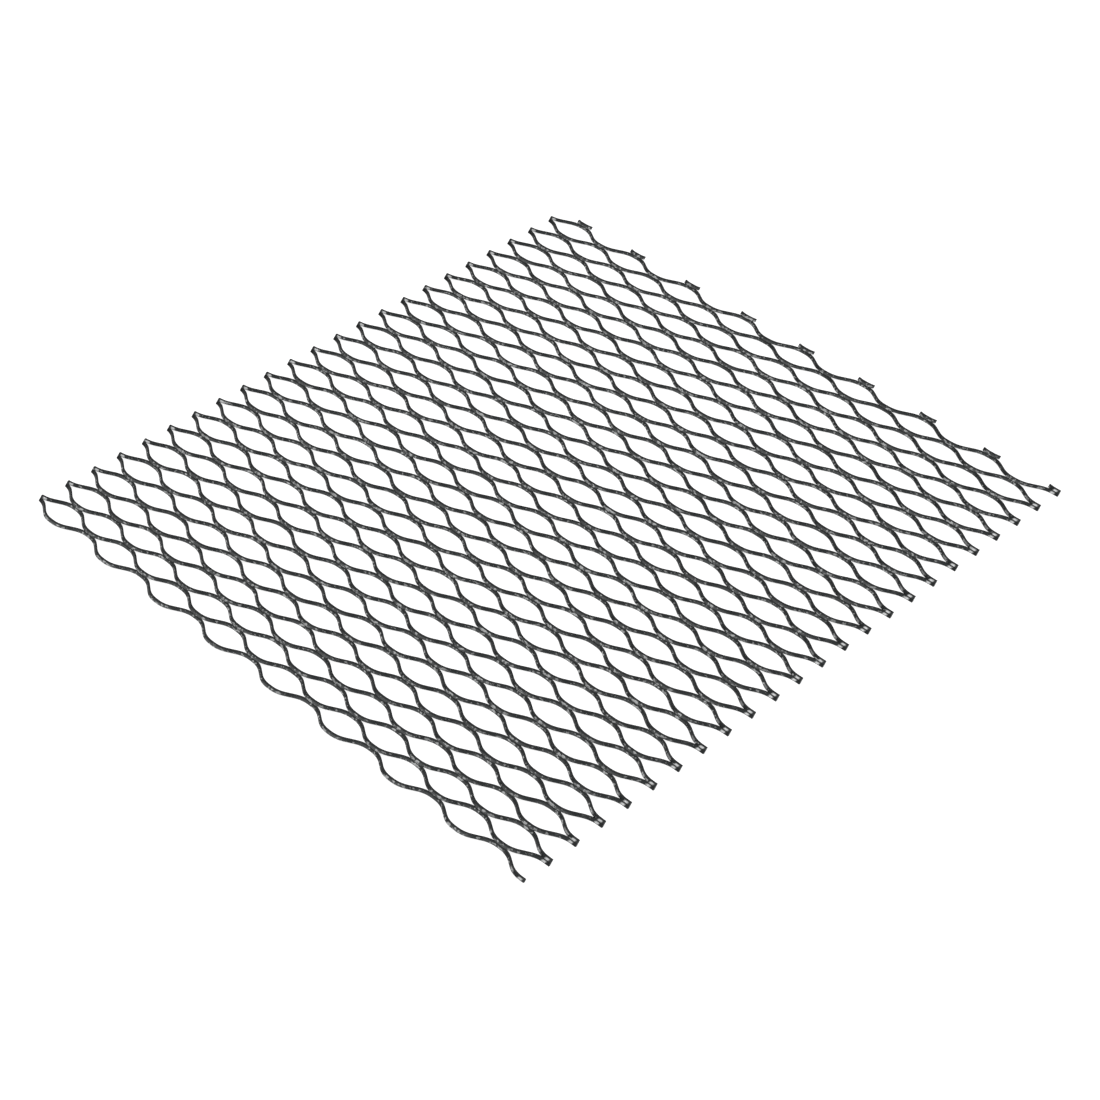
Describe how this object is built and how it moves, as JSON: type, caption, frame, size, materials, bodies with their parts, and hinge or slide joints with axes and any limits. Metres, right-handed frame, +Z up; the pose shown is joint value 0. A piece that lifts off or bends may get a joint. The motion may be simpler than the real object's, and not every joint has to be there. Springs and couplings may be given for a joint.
{
  "type": "expanded metal sheet",
  "caption": "Square sheet of raised expanded steel: wavy strands joined at tilted bonds around open diamonds, sheared on every edge.",
  "frame": {"origin": "bottom centre of the whole sheet, on the plane it rests on", "axes": "+X along the long way of the diamonds, +Y along the short way towards the edge with the left-over bond pieces, +Z up"},
  "size_m": [0.5558, 0.5884, 0.0041],
  "materials": {
    "mill_steel": "dark uncoated mill finish with lighter rubbed bonds and sheared edges"
  },
  "bodies": {
    "root": {"edge_stubs": "mill_steel", "strand_01": "mill_steel", "strand_02": "mill_steel", "strand_03": "mill_steel", "strand_04": "mill_steel", "strand_05": "mill_steel", "strand_06": "mill_steel", "strand_07": "mill_steel", "strand_08": "mill_steel", "strand_09": "mill_steel", "strand_10": "mill_steel", "strand_11": "mill_steel", "strand_12": "mill_steel", "strand_13": "mill_steel", "strand_14": "mill_steel", "strand_15": "mill_steel", "strand_16": "mill_steel", "strand_17": "mill_steel", "strand_18": "mill_steel", "strand_19": "mill_steel", "strand_20": "mill_steel", "strand_21": "mill_steel", "strand_22": "mill_steel", "strand_23": "mill_steel", "strand_24": "mill_steel", "strand_25": "mill_steel", "strand_26": "mill_steel", "strand_27": "mill_steel", "strand_28": "mill_steel", "strand_29": "mill_steel", "strand_30": "mill_steel", "strand_31": "mill_steel", "strand_32": "mill_steel", "strand_33": "mill_steel", "strand_34": "mill_steel", "strand_35": "mill_steel", "strand_36": "mill_steel", "strand_37": "mill_steel", "strand_38": "mill_steel", "strand_39": "mill_steel", "strand_40": "mill_steel", "strand_41": "mill_steel", "strand_42": "mill_steel", "strand_43": "mill_steel", "strand_44": "mill_steel", "strand_45": "mill_steel", "strand_46": "mill_steel"}
  },
  "joints": []
}
